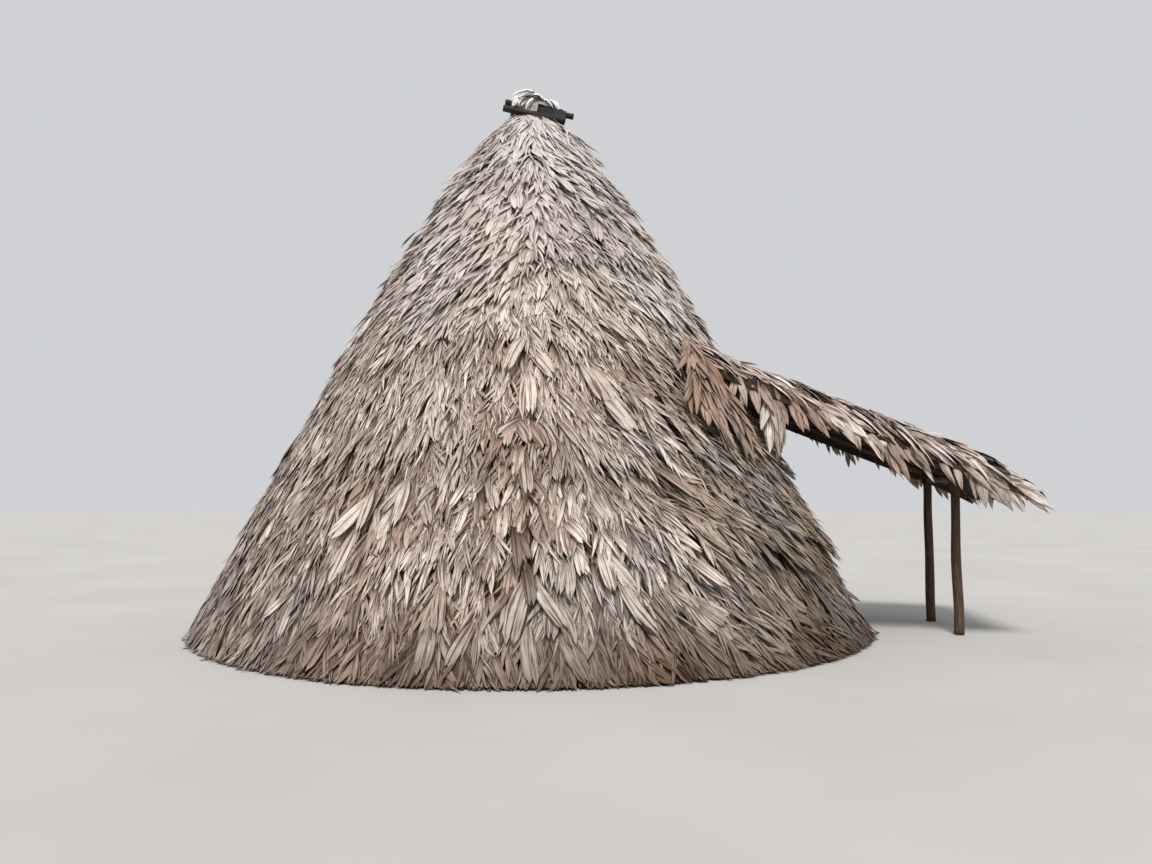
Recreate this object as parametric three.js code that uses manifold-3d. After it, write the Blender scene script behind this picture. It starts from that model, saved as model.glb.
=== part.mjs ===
// A conical thatched house. Twelve leaning rafters tied to four hoops carry a thick leaf thatch that
// reaches the ground. A frame of short logs holds a leaf cap on the apex, and a thatched awning on two
// posts shelters the doorway. Millimetres, +Z up; the doorway faces +X and the ground is z = 0.
import * as THREE from "three";
import { mergeVertices } from "three/addons/utils/BufferGeometryUtils.js";
import Module from "manifold-3d";

const wasm = await Module();
wasm.setup();

const rad = THREE.MathUtils.degToRad;
const UP = new THREE.Vector3(0, 0, 1);

// The gap left between pieces that rest on each other.
const GAP = 0.3;

// The thatched cone.
const BASE_RADIUS = 3950;
const SHELL_HEIGHT = 6340;
const SHELL_TOP_RADIUS = 360;
const BULGE = 140;
const SIDES = 12;
const HALF_SIDE = Math.PI / SIDES;
const PROFILE_LEVELS = 8;

// The leaning rafters, measured to their axes.
const RAFTER_RADIUS = 45;
const RAFTER_FOOT = 3700;
const RAFTER_HEAD = 225;
const RAFTER_TOP = 6200;
const POLE_SIDES = 12;

// The hoops inside the rafters.
const HOOPS = [
  { name: "hoop_low", height: 1960, radius: 40 },
  { name: "hoop_middle", height: 3000, radius: 40 },
  { name: "hoop_high", height: 4200, radius: 32 },
  { name: "hoop_top", height: 5400, radius: 25 },
];
const HOOP_STEPS = 2 * SIDES;
const HOOP_SECTION_SIDES = 8;

// The doorway, cut upright through the sloping thatch.
const DOOR_HALF_WIDTH = 620;
const DOOR_HEAD = 1850;

// The awning over the doorway; distances out are from the cone's axis.
const BEAM_RADIUS = 40;
const BEAM_OUT = 4950;
const BEAM_HEIGHT = 1760;
const BEAM_LENGTH = 1560;
const POST_RADIUS = 56;
const POST_HALF_SPACING = 560;
const AWNING_POLE_RADIUS = 35;
const POLE_HALF_SPACING_IN = 370;
const POLE_HALF_SPACING_OUT = 580;
const POLE_PAST_HOOP = 150;
const POLE_PAST_BEAM = 260;
const BATTEN_RADIUS = 20;
const BATTEN_LENGTH = 1760;
const BATTENS = [
  { name: "awning_batten_upper", out: 2720 },
  { name: "awning_batten_middle", out: 3650 },
  { name: "awning_batten_lower", out: 4580 },
];
const AWNING_INNER_END = 1800;
const AWNING_INNER_SPREAD = 1.25;
const AWNING_PARALLEL_OUT = 2900;
const EAVE_BEND_OUT = 5050;
const EAVE_BEND_RADIUS = 2300;
const EAVE_END_SLOPE = rad(40);
const EAVE_STEPS = 4;
const EAVE_TIP_SCALE = 0.4;
// Half of the awning's cross-section: sideways, then up from its underside.
const AWNING_HALF_SECTION = [
  [0, 230],
  [950, 130],
  [1120, 10],
  [1170, -130],
  [1120, -140],
  [1030, -30],
  [900, 0],
];

// The crown on the apex, which leans down towards one side. Its logs run along its own x axis.
const CROWN_TURN = rad(13);
const CROWN_TILT = rad(9.5);
const LOG_RADIUS = 40;
const LOW_LOG_OFFSET = 270;
const LOW_LOGS = [
  { name: "crown_log_front", side: -1, left: -425, right: 378 },
  { name: "crown_log_back", side: 1, left: -370, right: 390 },
];
const HIGH_LOG_OFFSET = 149;
const HIGH_LOG_LIFT = 172;
const HIGH_LOGS = [
  { name: "crown_log_front_upper", side: -1, left: -415, right: 475 },
  { name: "crown_log_back_upper", side: 1, left: -330, right: 330 },
];
const BOARD = { length: 370, thickness: 30, height: 205, middle: 187 };
const CAP_NECK_RADIUS = 222;
const CAP_RADIUS = 285;
const CAP_HEIGHT = 365;
const CAP_SEGMENTS = 20;
const CAP_ARC_STEPS = 5;

const material = (colour, roughness) =>
  new THREE.MeshStandardMaterial({ color: colour, roughness, metalness: 0 });
const THATCH = material(0xb5a391, 0.9);
const FRESH_THATCH = material(0xa98a66, 0.9);
const PEELED_POLE = material(0x6e5540, 0.8);
const DARK_LOG = material(0x2a2624, 0.85);

const LEAN = (RAFTER_FOOT - RAFTER_HEAD) / RAFTER_TOP;
const LEAN_HYPOT = Math.hypot(1, LEAN);
const LEAN_ANGLE = Math.atan(LEAN);

const house = new THREE.Group();

function add(name, geometry, look, parent = house) {
  const mesh = new THREE.Mesh(geometry, look);
  mesh.name = name;
  parent.add(mesh);
  return mesh;
}

// A geometry as a solid that can be cut, and a cut solid as a geometry.
function solidOf(geometry, matrix = new THREE.Matrix4()) {
  const bare = new THREE.BufferGeometry();
  const flat = geometry.index ? geometry.toNonIndexed() : geometry;
  bare.setAttribute("position", flat.getAttribute("position").clone());
  bare.applyMatrix4(matrix);
  const merged = mergeVertices(bare, 1e-3);
  return new wasm.Manifold(
    new wasm.Mesh({
      numProp: 3,
      vertProperties: merged.attributes.position.array,
      triVerts: new Uint32Array(merged.index.array),
    }),
  );
}

function geometryOf(solid) {
  const mesh = solid.getMesh();
  const geometry = new THREE.BufferGeometry();
  geometry.setAttribute("position", new THREE.BufferAttribute(mesh.vertProperties, 3));
  geometry.setIndex(new THREE.BufferAttribute(mesh.triVerts, 1));
  geometry.computeVertexNormals();
  return geometry;
}

// A closed body through rings of points that all run the same way round. The cap of a ring is filled
// as a flat polygon, read along the two axes named.
function stackedBody(rings, axisA, axisB) {
  const count = rings[0].length;
  const triangles = [];
  for (let level = 0; level + 1 < rings.length; level += 1) {
    for (let j = 0; j < count; j += 1) {
      const k = (j + 1) % count;
      const [a, b] = [level * count + j, level * count + k];
      triangles.push(a, b, b + count, a, b + count, a + count);
    }
  }
  for (const level of [0, rings.length - 1]) {
    const outline = rings[level].map((p) => new THREE.Vector2(p[axisA], p[axisB]));
    for (const face of THREE.ShapeUtils.triangulateShape(outline, [])) {
      const [a, b, c] = face.map((i) => level * count + i);
      triangles.push(...(level === 0 ? [c, b, a] : [a, b, c]));
    }
  }
  const geometry = new THREE.BufferGeometry().setFromPoints(rings.flat());
  geometry.setIndex(triangles);
  geometry.computeVertexNormals();
  return geometry;
}

const rafterAxisRadius = (height) => RAFTER_FOOT - LEAN * height;

function outerRadius(height, spare = 0) {
  const share = height / SHELL_HEIGHT;
  const straight = THREE.MathUtils.lerp(BASE_RADIUS, SHELL_TOP_RADIUS, share);
  return straight + 4 * BULGE * share * (1 - share) + spare;
}

// The corner between two flat inner faces of the thatch, just clear of the round rafter in it.
function innerCornerRadius(height) {
  const faceLean = LEAN * Math.cos(HALF_SIDE);
  const faceHypot = Math.hypot(1, faceLean);
  const turn = (Math.cos(HALF_SIDE) + LEAN * faceLean) / (LEAN_HYPOT * faceHypot);
  const seat = ((RAFTER_RADIUS * turn + GAP) * faceHypot) / Math.cos(HALF_SIDE);
  return rafterAxisRadius(height) + seat;
}

const polar = (radius, azimuth, height) =>
  new THREE.Vector3(radius * Math.cos(azimuth), radius * Math.sin(azimuth), height);

const levelHeights = Array.from(
  { length: PROFILE_LEVELS },
  (_, i) => ((SHELL_HEIGHT + 2 * LOG_RADIUS) * i) / (PROFILE_LEVELS - 1),
);

// One side of the cone, centred on azimuth 0: flat inside, and bent in the middle outside.
function wallPanel() {
  const inset = new THREE.Vector3(0, GAP / 2, 0);
  const rings = levelHeights.map((height) => {
    const inner = innerCornerRadius(height);
    const outer = outerRadius(height);
    return [
      polar(inner, HALF_SIDE, height).sub(inset),
      polar(inner, -HALF_SIDE, height).add(inset),
      polar(outer, -HALF_SIDE, height).add(inset),
      polar(outer, 0, height),
      polar(outer, HALF_SIDE, height).sub(inset),
    ];
  });
  return stackedBody(rings, "x", "y");
}

// The whole outer face as one solid, a little proud, to trim what leans on it.
function outerCone() {
  const rings = levelHeights.map((height) =>
    Array.from({ length: 2 * SIDES }, (_, i) =>
      polar(outerRadius(height, 2 * GAP), i * HALF_SIDE, height),
    ),
  );
  return stackedBody(rings, "x", "y");
}

const crownNormal = new THREE.Vector3(Math.sin(CROWN_TILT), 0, Math.cos(CROWN_TILT)).applyAxisAngle(
  UP,
  CROWN_TURN,
);
const crownSeatDistance = SHELL_HEIGHT * Math.cos(CROWN_TILT);

// Cuts a panel along the leaning plane that the crown sits on.
function cutUnderCrown(panel, azimuth) {
  const down = crownNormal.clone().applyAxisAngle(UP, -azimuth).negate();
  return panel.trimByPlane(down.toArray(), -crownSeatDistance);
}

function buildThatch() {
  const panel = solidOf(wallPanel());
  for (let side = 1; side < SIDES; side += 1) {
    const azimuth = side * 2 * HALF_SIDE;
    const name = `thatch_panel_${String(side).padStart(2, "0")}`;
    add(name, geometryOf(cutUnderCrown(panel, azimuth)), THATCH).rotation.z = azimuth;
  }
  const doorPanel = cutUnderCrown(panel, 0);
  let overDoor = doorPanel.trimByPlane([0, 0, 1], DOOR_HEAD);
  for (const side of [1, -1]) {
    overDoor = overDoor.subtract(solidOf(...awningPole(side, 2 * GAP)));
  }
  add("thatch_over_door", geometryOf(overDoor), THATCH);
  const beside = doorPanel.trimByPlane([0, 0, -1], -(DOOR_HEAD - GAP));
  const left = beside.trimByPlane([0, 1, 0], DOOR_HALF_WIDTH);
  add("thatch_door_left", geometryOf(left), THATCH);
  const right = beside.trimByPlane([0, -1, 0], DOOR_HALF_WIDTH);
  add("thatch_door_right", geometryOf(right), THATCH);
}

// A round pole that leans inwards and is cut level at both ends.
function rafter() {
  const ring = (height) =>
    Array.from({ length: POLE_SIDES }, (_, i) => {
      const turn = (2 * Math.PI * i) / POLE_SIDES;
      return new THREE.Vector3(
        rafterAxisRadius(height) + RAFTER_RADIUS * LEAN_HYPOT * Math.cos(turn),
        RAFTER_RADIUS * Math.sin(turn),
        height,
      );
    });
  return stackedBody([ring(0), ring(RAFTER_TOP)], "x", "y");
}

function buildRafters() {
  const shape = rafter();
  for (let side = 0; side < SIDES; side += 1) {
    const name = `rafter_${String(side + 1).padStart(2, "0")}`;
    add(name, shape, PEELED_POLE).rotation.z = (2 * side + 1) * HALF_SIDE;
  }
}

const hoopRadius = ({ height, radius }) =>
  rafterAxisRadius(height) - (RAFTER_RADIUS + radius + GAP) * LEAN_HYPOT;

// A hoop with one edge of its section turned square to the rafters, which it touches all round.
function buildHoop(hoop) {
  const middle = hoopRadius(hoop);
  const profile = Array.from({ length: HOOP_SECTION_SIDES + 1 }, (_, i) => {
    const turn = LEAN_ANGLE + (2 * Math.PI * (i % HOOP_SECTION_SIDES)) / HOOP_SECTION_SIDES;
    return new THREE.Vector2(
      middle + hoop.radius * Math.cos(turn),
      hoop.height + hoop.radius * Math.sin(turn),
    );
  });
  add(hoop.name, new THREE.LatheGeometry(profile, HOOP_STEPS).rotateX(Math.PI / 2), PEELED_POLE);
}

// A round pole between two points, with corners straight above and below its axis.
function poleBetween(from, to, radius) {
  const along = to.clone().sub(from);
  const geometry = new THREE.CylinderGeometry(radius, radius, along.length(), POLE_SIDES);
  const axis = along.clone().normalize();
  const side = axis.clone().cross(UP).normalize();
  const matrix = new THREE.Matrix4()
    .makeBasis(side, axis, side.clone().cross(axis))
    .setPosition(from.clone().add(to).multiplyScalar(0.5));
  return [geometry, matrix];
}

function addPole(name, [geometry, matrix], look, parent = house) {
  const mesh = add(name, geometry, look, parent);
  matrix.decompose(mesh.position, mesh.quaternion, mesh.scale);
}

// The awning's poles lie on the middle hoop and on the beam, which have the same radius.
const hoopMiddle = HOOPS[1];
const hoopFlat = hoopRadius(hoopMiddle) * (1 - Math.cos(HALF_SIDE));
const hoopCorner = hoopRadius(hoopMiddle) * Math.sin(HALF_SIDE);
const hoopOut =
  hoopRadius(hoopMiddle) - (hoopFlat * POLE_HALF_SPACING_IN) / hoopCorner;
const awningFall = (hoopMiddle.height - BEAM_HEIGHT) / (BEAM_OUT - hoopOut);
const awningHypot = Math.hypot(1, awningFall);

// Height of a line parallel to the awning, at a square distance above the beam's axis.
const awningLine = (out, lift) =>
  BEAM_HEIGHT + awningFall * (BEAM_OUT - out) + lift * awningHypot;

const POLE_LIFT = BEAM_RADIUS + AWNING_POLE_RADIUS + GAP;
const BATTEN_LIFT = POLE_LIFT + AWNING_POLE_RADIUS + BATTEN_RADIUS + GAP;
const UNDERSIDE_LIFT = BATTEN_LIFT + BATTEN_RADIUS + GAP;

function awningPole(side, spare = 0) {
  const splay = (POLE_HALF_SPACING_OUT - POLE_HALF_SPACING_IN) / (BEAM_OUT - hoopOut);
  const at = (out) =>
    new THREE.Vector3(
      out,
      side * (POLE_HALF_SPACING_IN + splay * (out - hoopOut)),
      awningLine(out, POLE_LIFT),
    );
  return poleBetween(
    at(hoopOut - POLE_PAST_HOOP),
    at(BEAM_OUT + POLE_PAST_BEAM),
    AWNING_POLE_RADIUS + spare,
  );
}

const crossPole = (out, height, length, radius) =>
  poleBetween(
    new THREE.Vector3(out, -length / 2, height),
    new THREE.Vector3(out, length / 2, height),
    radius,
  );

// Sections of the awning: widest on the cone, straight down to the bend over the beam, then curving
// down and thinner to the eave.
function awningStations() {
  const straight = [AWNING_INNER_END, AWNING_PARALLEL_OUT, EAVE_BEND_OUT].map((out) => ({
    out,
    height: awningLine(out, UNDERSIDE_LIFT),
    spread: out === AWNING_INNER_END ? AWNING_INNER_SPREAD : 1,
    scale: 1,
  }));
  const bendHeight = straight.at(-1).height;
  const start = Math.atan(awningFall);
  const bend = Array.from({ length: EAVE_STEPS }, (_, i) => {
    const share = (i + 1) / EAVE_STEPS;
    const slope = THREE.MathUtils.lerp(start, EAVE_END_SLOPE, share);
    return {
      out: EAVE_BEND_OUT + EAVE_BEND_RADIUS * (Math.sin(slope) - Math.sin(start)),
      height: bendHeight - EAVE_BEND_RADIUS * (Math.cos(start) - Math.cos(slope)),
      spread: 1,
      scale: THREE.MathUtils.lerp(1, EAVE_TIP_SCALE, share * share),
    };
  });
  return [...straight, ...bend];
}

function awningThatch() {
  const mirrored = AWNING_HALF_SECTION.slice(1)
    .reverse()
    .map(([y, z]) => [-y, z]);
  const section = [...AWNING_HALF_SECTION, ...mirrored].reverse();
  const rings = awningStations().map(({ out, height, spread, scale }) =>
    section.map(([y, z]) => new THREE.Vector3(out, y * spread, height + z * scale)),
  );
  const slab = solidOf(stackedBody(rings, "y", "z"));
  return geometryOf(slab.subtract(solidOf(outerCone())));
}

// A post with a notch that the beam lies in.
function notchedPost() {
  const height = BEAM_HEIGHT;
  const shape = new THREE.CylinderGeometry(POST_RADIUS, POST_RADIUS, height, POLE_SIDES)
    .rotateX(Math.PI / 2)
    .translate(BEAM_OUT, 0, height / 2);
  const notch = crossPole(BEAM_OUT, BEAM_HEIGHT, BEAM_LENGTH, BEAM_RADIUS + GAP);
  return geometryOf(solidOf(shape).subtract(solidOf(...notch)));
}

function buildAwning() {
  add("awning_thatch", awningThatch(), FRESH_THATCH);
  addPole("awning_pole_left", awningPole(1), PEELED_POLE);
  addPole("awning_pole_right", awningPole(-1), PEELED_POLE);
  for (const { name, out } of BATTENS) {
    const height = awningLine(out, BATTEN_LIFT);
    addPole(name, crossPole(out, height, BATTEN_LENGTH, BATTEN_RADIUS), PEELED_POLE);
  }
  addPole(
    "awning_beam",
    crossPole(BEAM_OUT, BEAM_HEIGHT, BEAM_LENGTH, BEAM_RADIUS),
    PEELED_POLE,
  );
  const post = notchedPost();
  add("awning_post_left", post, PEELED_POLE).position.y = POST_HALF_SPACING;
  add("awning_post_right", post, PEELED_POLE).position.y = -POST_HALF_SPACING;
}

// The cap's outline: a neck between the logs, then a dome that swells over them.
function capProfile() {
  const shoulder = 2 * LOG_RADIUS + 4 * GAP;
  const points = [
    new THREE.Vector2(0, GAP),
    new THREE.Vector2(CAP_NECK_RADIUS, GAP),
    new THREE.Vector2(CAP_NECK_RADIUS, shoulder),
  ];
  for (let i = 0; i <= CAP_ARC_STEPS; i += 1) {
    const turn = ((Math.PI / 2) * i) / CAP_ARC_STEPS;
    const up = shoulder + 2 * GAP + (CAP_HEIGHT - shoulder) * Math.sin(turn);
    points.push(new THREE.Vector2(i === CAP_ARC_STEPS ? 0 : CAP_RADIUS * Math.cos(turn), up));
  }
  return points;
}

// The board stands on edge between the low log and the high log. Its cut in the cap is open in front.
const boardInnerFace = LOW_LOG_OFFSET - LOG_RADIUS - GAP - BOARD.thickness;

const crownBoard = () =>
  new THREE.BoxGeometry(BOARD.length, BOARD.thickness, BOARD.height).translate(
    BOARD.middle,
    -boardInnerFace - BOARD.thickness / 2,
    GAP + BOARD.height / 2,
  );

const boardCut = () =>
  new THREE.BoxGeometry(BOARD.length + 2 * GAP, CAP_RADIUS, BOARD.height + 4 * GAP).translate(
    BOARD.middle,
    GAP - boardInnerFace - CAP_RADIUS / 2,
    BOARD.height / 2,
  );

// A log of the crown, from its left end to its right end.
const crownLog = ({ side, left, right }, offset, lift, spare = 0) =>
  poleBetween(
    new THREE.Vector3(left, side * offset, lift),
    new THREE.Vector3(right, side * offset, lift),
    LOG_RADIUS + spare,
  );

function buildCrown() {
  const crown = new THREE.Group();
  crown.position.z = SHELL_HEIGHT;
  crown.rotation.set(0, CROWN_TILT, CROWN_TURN, "ZYX");
  house.add(crown);

  for (const log of LOW_LOGS) {
    addPole(log.name, crownLog(log, LOW_LOG_OFFSET, LOG_RADIUS + GAP), DARK_LOG, crown);
  }
  for (const log of HIGH_LOGS) {
    addPole(log.name, crownLog(log, HIGH_LOG_OFFSET, HIGH_LOG_LIFT), DARK_LOG, crown);
  }
  add("crown_board", crownBoard(), DARK_LOG, crown);

  const dome = new THREE.LatheGeometry(capProfile(), CAP_SEGMENTS).rotateX(Math.PI / 2);
  let cap = solidOf(dome).subtract(solidOf(boardCut()));
  for (const log of HIGH_LOGS) {
    cap = cap.subtract(solidOf(...crownLog(log, HIGH_LOG_OFFSET, HIGH_LOG_LIFT, GAP)));
  }
  add("crown_thatch", geometryOf(cap), THATCH, crown);
}

buildThatch();
buildRafters();
HOOPS.forEach(buildHoop);
buildAwning();
buildCrown();

// The origin is the middle of the house's footprint, awning included, on the ground.
house.updateMatrixWorld(true);
const footprint = new THREE.Box3().setFromObject(house);
house.position.x = -(footprint.min.x + footprint.max.x) / 2;

export default house;
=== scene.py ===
import math

import bpy
import numpy as np
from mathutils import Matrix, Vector, noise
from mathutils.bvhtree import BVHTree


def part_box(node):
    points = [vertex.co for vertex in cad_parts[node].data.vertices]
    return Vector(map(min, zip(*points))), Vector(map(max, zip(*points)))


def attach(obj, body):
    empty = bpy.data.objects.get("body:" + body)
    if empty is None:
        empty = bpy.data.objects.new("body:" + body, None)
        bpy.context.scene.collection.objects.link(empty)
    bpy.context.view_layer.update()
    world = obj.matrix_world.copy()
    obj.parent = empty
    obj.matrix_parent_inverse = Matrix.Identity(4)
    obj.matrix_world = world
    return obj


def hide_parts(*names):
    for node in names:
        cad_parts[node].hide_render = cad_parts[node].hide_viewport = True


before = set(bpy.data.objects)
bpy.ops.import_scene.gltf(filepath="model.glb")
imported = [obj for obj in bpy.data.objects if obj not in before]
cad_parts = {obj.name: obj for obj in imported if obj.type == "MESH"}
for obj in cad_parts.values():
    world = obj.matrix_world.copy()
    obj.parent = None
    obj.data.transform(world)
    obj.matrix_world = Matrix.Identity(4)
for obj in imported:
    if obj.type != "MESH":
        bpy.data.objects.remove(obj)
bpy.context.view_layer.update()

# Dresses the conical thatched house with its palm leaves, uneven poles, laths and vine lashings.
# Metres, with the doorway towards +x and the ground at z = 0. Angles are in radians unless said.

# Each kind of leaf draws its own random numbers.
SEED = 17
DRAWS = ("cone", "awning", "hanging", "beside", "cap", "inner", "skirt", "large")

# The camera fitted to the photograph.
PHOTO_WIDTH = 1152
FOCAL_PIXELS = 900
SENSOR_MM = 36.0
CAMERA_DISTANCE = 11.384
CAMERA_HEIGHT = 1.56
CAMERA_TURN = math.radians(9.0)
CAMERA_AIM = math.radians(-2.735)
CAMERA_PITCH = math.radians(4.06)
CAMERA_REACH = 200

# The cone stands round the middle of its hoops, and its outline follows the solids.
ring_low, ring_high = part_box("hoop_top")
AXIS_X = (ring_low[0] + ring_high[0]) / 2
SIDES = 12
HALF_SIDE = math.pi / SIDES
SHELL_BASE = 3.95
SHELL_HEIGHT = 6.34
SHELL_TOP = 0.36
SHELL_BULGE = 0.14
DOOR_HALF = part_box("thatch_door_left")[0][1]
DOOR_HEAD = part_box("thatch_over_door")[0][2]
HOOPS = ("hoop_low", "hoop_middle", "hoop_high", "hoop_top")
# Azimuth on the cone that faces the camera.
FRONT = -math.pi / 2 + CAMERA_TURN


# Numbers and vectors

def seeded(part):
    return np.random.default_rng(SEED + DRAWS.index(part))


def varied(rng, count, *values):
    """Each value as given or, where it is a mean and a spread, count random numbers."""
    return [rng.normal(*value, count) if isinstance(value, tuple) else value for value in values]


def smooth(value, start, end):
    """From 0 at start to 1 at end, level at both."""
    share = np.clip((value - start) / (end - start), 0, 1)
    return share * share * (3 - 2 * share)


def fades(value, start, end):
    """From 1 at start to 0 at end, level at both."""
    return smooth(-value, -end, -start)


def field(points, scale, offset):
    """Smooth noise from -1 to 1 at each point."""
    shift = Vector((offset, offset * 1.7, -offset))
    return np.array([noise.noise(Vector(p) * scale + shift) for p in points])


def unit(vectors):
    return vectors / np.maximum(np.linalg.norm(vectors, axis=-1, keepdims=True), 1e-9)


def columns_of(*values):
    return np.stack(np.broadcast_arrays(*values), axis=1)


def turned(vectors, axes, angles):
    """Vectors turned about unit axes, by Rodrigues' formula."""
    c = np.cos(angles)[..., None]
    s = np.sin(angles)[..., None]
    dots = np.sum(vectors * axes, axis=-1, keepdims=True)
    return vectors * c + np.cross(axes, vectors) * s + axes * dots * (1 - c)


def leaning(down, side, lean):
    """Unit vectors down a slope, turned sideways by a lean."""
    return down * np.cos(lean)[..., None] + side * np.sin(lean)[..., None]


# The frame's solids

def node_points(node):
    return np.array([v.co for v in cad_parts[node].data.vertices])


def pole_ends(node):
    """The middles of the two ends of a straight pole, lower end first, or smaller x, and its radius."""
    points = node_points(node)
    middle = (points.min(0) + points.max(0)) / 2
    axis = np.linalg.svd(points - points.mean(0), full_matrices=False)[2][0]
    run = (points - middle) @ axis
    reach = 0.06
    ends = [points[run < run.min() + reach].mean(0), points[run > run.max() - reach].mean(0)]
    ends.sort(key=lambda p: (round(p[2], 1), p[0]))
    off = points - (ends[0] + ends[1]) / 2
    off = off - np.outer(off @ axis, axis)
    return ends[0], ends[1], float(np.linalg.norm(off, axis=1).max())


def crown_axes():
    """The crown's own directions, along its logs, across them and up, and its middle on the seat."""
    a, b, _ = pole_ends("crown_log_front")
    c, d, _ = pole_ends("crown_log_back")
    along = unit(b - a) * math.copysign(1, b[0] - a[0])
    across = (c + d) / 2 - (a + b) / 2
    across = unit(across - along * np.dot(across, along))
    return along, across, np.cross(along, across), np.array([AXIS_X, 0.0, SHELL_HEIGHT])


def crown_seat(point):
    """Height of the leaning plane that the crown sits on, over each point."""
    along, _, _, seat = crown_axes()
    out = (point[:, 0] - seat[0]) * along[0] + point[:, 1] * along[1]
    return seat[2] + out * along[2] / (along[0] ** 2 + along[1] ** 2)


def surface_of(node):
    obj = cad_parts[node]
    return BVHTree.FromPolygons(
        [v.co.copy() for v in obj.data.vertices], [tuple(p.vertices) for p in obj.data.polygons]
    )


def drop_onto(tree, x, y):
    """Where an upright line first meets the surface from above, with its normal, or None twice."""
    above = 8
    return tree.ray_cast(Vector((x, y, above)), Vector((0, 0, -1)))[:2]


def shell_radius(height):
    share = height / SHELL_HEIGHT
    return SHELL_BASE + (SHELL_TOP - SHELL_BASE) * share + 4 * SHELL_BULGE * share * (1 - share)


def shell_slope(height):
    share = height / SHELL_HEIGHT
    return ((SHELL_TOP - SHELL_BASE) + 4 * SHELL_BULGE * (1 - 2 * share)) / SHELL_HEIGHT


def slope_frame(azimuth, height):
    """Points on the shell with the unit vectors down the slope, outwards and sideways."""
    radius = shell_radius(height)
    ca, sa = np.cos(azimuth), np.sin(azimuth)
    point = columns_of(AXIS_X + radius * ca, radius * sa, height)
    slope = shell_slope(height)
    long = np.hypot(1, slope)
    down = columns_of(-slope * ca / long, -slope * sa / long, -1 / long)
    side = columns_of(-sa, ca, 0.0)
    out = columns_of(ca / long, sa / long, -slope / long)
    return point, down, out, side


# Camera

def make_camera():
    data = bpy.data.cameras.new("photo_camera")
    data.sensor_width = SENSOR_MM
    data.lens = SENSOR_MM * FOCAL_PIXELS / PHOTO_WIDTH
    data.clip_end = CAMERA_REACH
    camera = bpy.data.objects.new("photo_camera", data)
    camera.location = (
        AXIS_X + CAMERA_DISTANCE * math.sin(CAMERA_TURN),
        -CAMERA_DISTANCE * math.cos(CAMERA_TURN),
        CAMERA_HEIGHT,
    )
    camera.rotation_euler = (math.pi / 2 + CAMERA_PITCH, 0, CAMERA_TURN + CAMERA_AIM)
    bpy.context.collection.objects.link(camera)
    bpy.context.scene.camera = camera


# Materials

BLACK = (0.0, 0.0, 0.0)
WHITE = (1.0, 1.0, 1.0)


class Nodes:
    """A material's node tree, with short calls to add and join nodes."""

    def __init__(self, name, roughness=0.8, specular=0.25):
        self.material = bpy.data.materials.new(name)
        self.material.use_nodes = True
        self.tree = self.material.node_tree
        self.shader = self.tree.nodes["Principled BSDF"]
        self.shader.inputs["Roughness"].default_value = roughness
        self.shader.inputs["Specular IOR Level"].default_value = specular

    def add(self, kind, inputs=None, **settings):
        node = self.tree.nodes.new(kind)
        for key, value in settings.items():
            setattr(node, key, value)
        for key, value in (inputs or {}).items():
            if isinstance(value, bpy.types.NodeSocket):
                self.tree.links.new(value, node.inputs[key])
            else:
                node.inputs[key].default_value = value
        return node

    def math(self, operation, a, b=0.5):
        return self.add("ShaderNodeMath", {0: a, 1: b}, operation=operation).outputs[0]

    def weighted(self, a, share_a, b, share_b):
        return self.math("ADD", self.math("MULTIPLY", a, share_a), self.math("MULTIPLY", b, share_b))

    def noise(self, vector, scale, detail, roughness=0.55):
        inputs = {"Vector": vector, "Scale": scale, "Detail": detail, "Roughness": roughness}
        return self.add("ShaderNodeTexNoise", inputs).outputs["Fac"]

    def streaks(self, vector, stretch, detail, roughness):
        """Noise with its own scale along each axis."""
        mapped = self.add("ShaderNodeMapping", {"Vector": vector, "Scale": stretch}).outputs[0]
        return self.noise(mapped, 1.0, detail, roughness)

    def mix(self, factor, a, b, blend="MIX"):
        node = self.add("ShaderNodeMix", {"Factor": factor}, data_type="RGBA", blend_type=blend)
        for socket, value in ((node.inputs[6], a), (node.inputs[7], b)):
            if isinstance(value, bpy.types.NodeSocket):
                self.tree.links.new(value, socket)
            else:
                socket.default_value = (*value, 1)
        return node.outputs[2]

    def ramp(self, factor, stops):
        node = self.add("ShaderNodeValToRGB", {"Fac": factor})
        elements = node.color_ramp.elements
        while len(elements) < len(stops):
            elements.new(0.5)
        for element, (position, colour) in zip(elements, stops):
            element.position = position
            element.color = (*colour, 1)
        return node.outputs["Color"]

    def between(self, factor, start, end):
        """Black up to start and white from end."""
        return self.ramp(factor, [(start, BLACK), (end, WHITE)])

    def shaded(self, colour, amount, factor, shade, dark_at, clear_at):
        """The colour multiplied by a shade where the factor is at dark_at, and less towards clear_at."""
        stops = sorted([(dark_at, shade), (clear_at, WHITE)])
        return self.mix(amount, colour, self.ramp(factor, stops), "MULTIPLY")

    def place(self):
        return self.add("ShaderNodeTexCoord").outputs["Object"]

    def split(self, vector):
        return self.add("ShaderNodeSeparateXYZ", {0: vector}).outputs

    def finish(self, colour, height, strength, distance, roughness=None):
        self.tree.links.new(colour, self.shader.inputs["Base Color"])
        inputs = {"Height": height, "Strength": strength, "Distance": distance}
        bump = self.add("ShaderNodeBump", inputs)
        self.tree.links.new(bump.outputs[0], self.shader.inputs["Normal"])
        if roughness is not None:
            self.tree.links.new(roughness, self.shader.inputs["Roughness"])
        return self.material


# What darkens a leaf: painted shade in the grooves between its veins, stains, painted shade at its
# rims, in its pleat valleys and under the leaves over its root, and soil with painted shade near the ground.
GROOVE_SHADE = (0.190, 0.110, 0.080)
STAIN = (0.660, 0.600, 0.550)
RIM_SHADE = (0.170, 0.090, 0.065)
ROOT_SHADE = (0.200, 0.125, 0.095)
SOIL_AND_SHADE = (0.220, 0.155, 0.110)
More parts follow.
